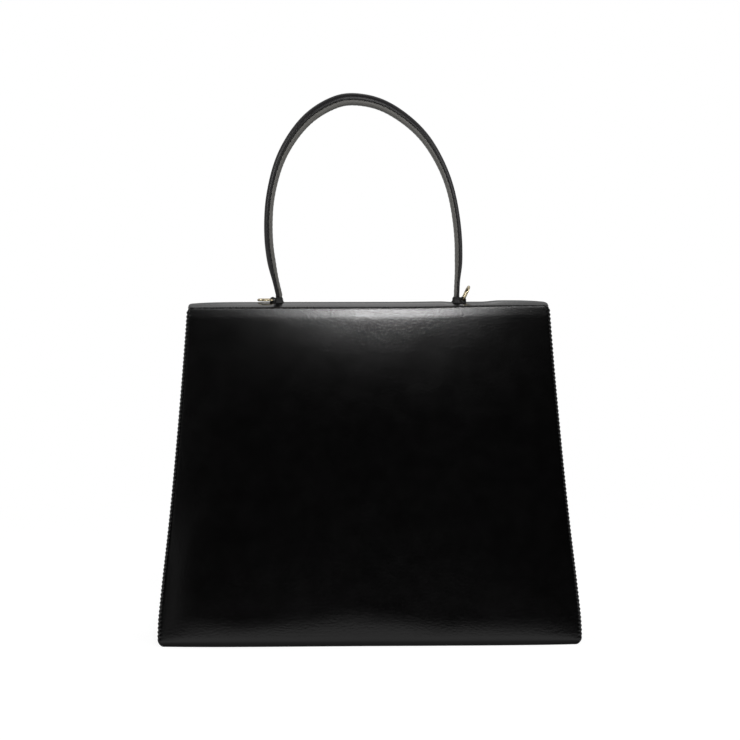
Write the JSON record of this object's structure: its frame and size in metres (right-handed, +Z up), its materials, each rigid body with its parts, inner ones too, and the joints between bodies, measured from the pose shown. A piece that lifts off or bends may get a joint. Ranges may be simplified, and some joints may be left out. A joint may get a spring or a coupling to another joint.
{
  "type": "shoulder bag",
  "caption": "Structured trapezoid flap bag in smooth leather with a stiff top band, rolled top handle, strap rings and a turn lock",
  "frame": {"origin": "the middle of the base, on the surface that the bag stands on", "axes": "+Z up toward the handle, +Y out of the front with the flap and lock, +X to the right when the back panel is looked at"},
  "size_m": [0.3, 0.088, 0.3884],
  "materials": {
    "black_leather": "smooth glossy box calf",
    "handle_leather": "smooth leather with stitched edges",
    "board": "pressed leatherboard",
    "lining_leather": "matt thin lining leather",
    "lining_cloth": "plain cotton pocketing",
    "zip_tape": "woven tape",
    "gold_metal": "polished pale gold plating",
    "steel": "plain stamped steel",
    "handle_core": "packed cord"
  },
  "bodies": {
    "bag_body": {"back_panel": "black_leather", "front_panel": "black_leather", "gusset_left": "black_leather", "gusset_right": "black_leather", "base_panel": "black_leather", "back_board": "board", "front_board": "board", "base_board": "board", "lining_back": "lining_leather", "lining_front": "lining_leather", "lining_left": "lining_leather", "lining_right": "lining_leather", "lining_base": "lining_leather", "slip_pocket": "lining_leather", "pocket_bag": "lining_cloth", "zip_tape": "zip_tape", "zip_chain": "gold_metal", "lock_base": "gold_metal", "lock_backing": "steel"},
    "top": {"top_band": "black_leather", "top_board": "board", "top_lining": "lining_leather", "handle_foot_left": "handle_leather", "handle_foot_right": "handle_leather", "anchor_plate_left": "steel", "anchor_plate_right": "steel", "anchor_rivet_left_1": "steel", "anchor_rivet_left_2": "steel", "anchor_rivet_right_1": "steel", "anchor_rivet_right_2": "steel", "ring_tab_left": "handle_leather", "ring_tab_right": "handle_leather"},
    "flap": {"flap_panel": "black_leather", "flap_board": "board", "flap_lining": "lining_leather", "lock_plate": "gold_metal", "lock_plate_back": "steel"},
    "handle": {"handle_cover": "handle_leather", "handle_core": "handle_core", "handle_strap": "handle_leather"},
    "left_ring": {"ring_left": "gold_metal"},
    "right_ring": {"ring_right": "gold_metal"},
    "knob": {"lock_knob": "gold_metal"},
    "slider": {"zip_slider": "gold_metal"},
    "puller": {"zip_puller": "gold_metal"}
  },
  "joints": [
    {"name": "top_fold", "type": "hinge", "parent": "bag_body", "child": "top", "pos_m": [0, -0.015, 0.2389], "axis": [1, 0, 0], "range_deg": [0, 105]},
    {"name": "flap_fold", "type": "hinge", "parent": "top", "child": "flap", "pos_m": [0, 0.02011, 0.2389], "axis": [1, 0, 0], "range_deg": [0, 100]},
    {"name": "handle_tilt", "type": "hinge", "parent": "top", "child": "handle", "pos_m": [0, 0, 0.2459], "axis": [1, 0, 0], "range_deg": [-40, 40]},
    {"name": "ring_left_swing", "type": "hinge", "parent": "top", "child": "left_ring", "pos_m": [-0.0679, 0, 0.2419], "axis": [0, 1, 0], "range_deg": [0, 85]},
    {"name": "ring_right_swing", "type": "hinge", "parent": "top", "child": "right_ring", "pos_m": [0.0679, 0, 0.2419], "axis": [0, -1, 0], "range_deg": [-65, 20]},
    {"name": "lock_turn", "type": "hinge", "parent": "bag_body", "child": "knob", "pos_m": [0, 0.03307, 0.1478], "axis": [0, 0.9926, 0.1215], "range_deg": [0, 90]},
    {"name": "zip_slide", "type": "slide", "parent": "bag_body", "child": "slider", "axis": [-1, 0, 0], "range_m": [0, 0.123]},
    {"name": "puller_flip", "type": "hinge", "parent": "slider", "child": "puller", "pos_m": [0.0615, -0.01368, 0.17492], "axis": [0, -0.1215, -0.9926], "range_deg": [0, 170]}
  ]
}
